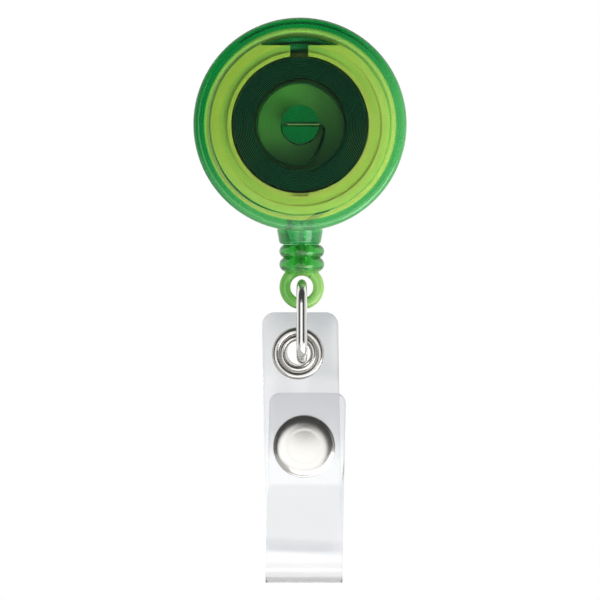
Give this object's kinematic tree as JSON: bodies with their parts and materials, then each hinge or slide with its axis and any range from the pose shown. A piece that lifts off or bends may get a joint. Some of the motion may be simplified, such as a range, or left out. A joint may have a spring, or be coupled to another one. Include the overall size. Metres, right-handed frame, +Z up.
{
  "type": "retractable badge reel",
  "caption": "Round clip-on reel with a spring-wound cord, end fitting, wire link and snap strap that holds an ID badge.",
  "frame": {"origin": "middle of the belt clip's throat, level with the reel's axis", "axes": "+Z up along the hanging cord and strap, -Y out of the reel's face, +X to the right of someone facing it"},
  "size_m": [0.032, 0.0173, 0.0848],
  "materials": {
    "green_shell": "clear moulded green polystyrene, polished",
    "lime_spool": "translucent lime moulding, satin",
    "spring_steel": "rolled spring strip, oiled",
    "green_cord": "braided dark green nylon cord",
    "nickel_steel": "satin nickel plate",
    "clear_vinyl": "clear flexible vinyl sheet"
  },
  "bodies": {
    "case": {"front_cover": "green_shell", "rear_cover": "green_shell", "spring_arbor": "green_shell", "clip_plate": "nickel_steel", "clip_rivets": "nickel_steel"},
    "clip_blade": {"clip_blade": "nickel_steel"},
    "spool": {"cord_spool": "lime_spool", "power_spring": "spring_steel", "cord_winding": "green_cord", "spool_knot": "green_cord"},
    "cord_end": {"cord_lead": "green_cord", "end_knot": "green_cord"},
    "fitting": {"end_fitting": "green_shell"},
    "link": {"wire_link": "nickel_steel"},
    "strap": {"strap_back": "clear_vinyl", "eyelet": "nickel_steel", "eyelet_washer": "nickel_steel", "snap_stud": "nickel_steel", "snap_post": "nickel_steel"},
    "flap": {"strap_flap": "clear_vinyl", "snap_cap": "nickel_steel", "snap_socket": "nickel_steel", "snap_spring": "spring_steel"}
  },
  "joints": [
    {"name": "cord_pull", "type": "slide", "parent": "case", "child": "cord_end", "axis": [0, 0, -1], "range_m": [0, 0.86], "stiffness_N_per_m": 0.9, "springref_m": -0.6, "deforming": ["cord_lead"]},
    {"name": "spool_spin", "type": "hinge", "parent": "case", "child": "spool", "pos_m": [0, -0.0076, 0], "axis": [0, 1, 0], "range_deg": [0, 4071], "deforming": ["power_spring"]},
    {"name": "fitting_swivel", "type": "hinge", "parent": "cord_end", "child": "fitting", "pos_m": [0.00027, -0.0076, -0.0196], "axis": [0, 0, 1], "continuous": true},
    {"name": "link_swing", "type": "hinge", "parent": "fitting", "child": "link", "pos_m": [0.00027, -0.0076, -0.02694], "axis": [1, 0, 0], "range_deg": [-60, 60]},
    {"name": "strap_swing", "type": "hinge", "parent": "link", "child": "strap", "pos_m": [0.00027, -0.0076, -0.03517], "axis": [0, 1, 0], "range_deg": [-12, 12]},
    {"name": "flap_open", "type": "hinge", "parent": "strap", "child": "flap", "pos_m": [0.0006, -0.01025, -0.06855], "axis": [1, 0, 0], "range_deg": [0, 100]},
    {"name": "clip_flex", "type": "hinge", "parent": "case", "child": "clip_blade", "pos_m": [0, -0.00252, 0.01158], "axis": [1, 0, 0], "range_deg": [0, 8], "stiffness_Nm_per_rad": 1.9}
  ],
  "couplings": [
    {"joint": "spool_spin", "follows": "cord_pull", "rad_per_m": 82.6}
  ]
}
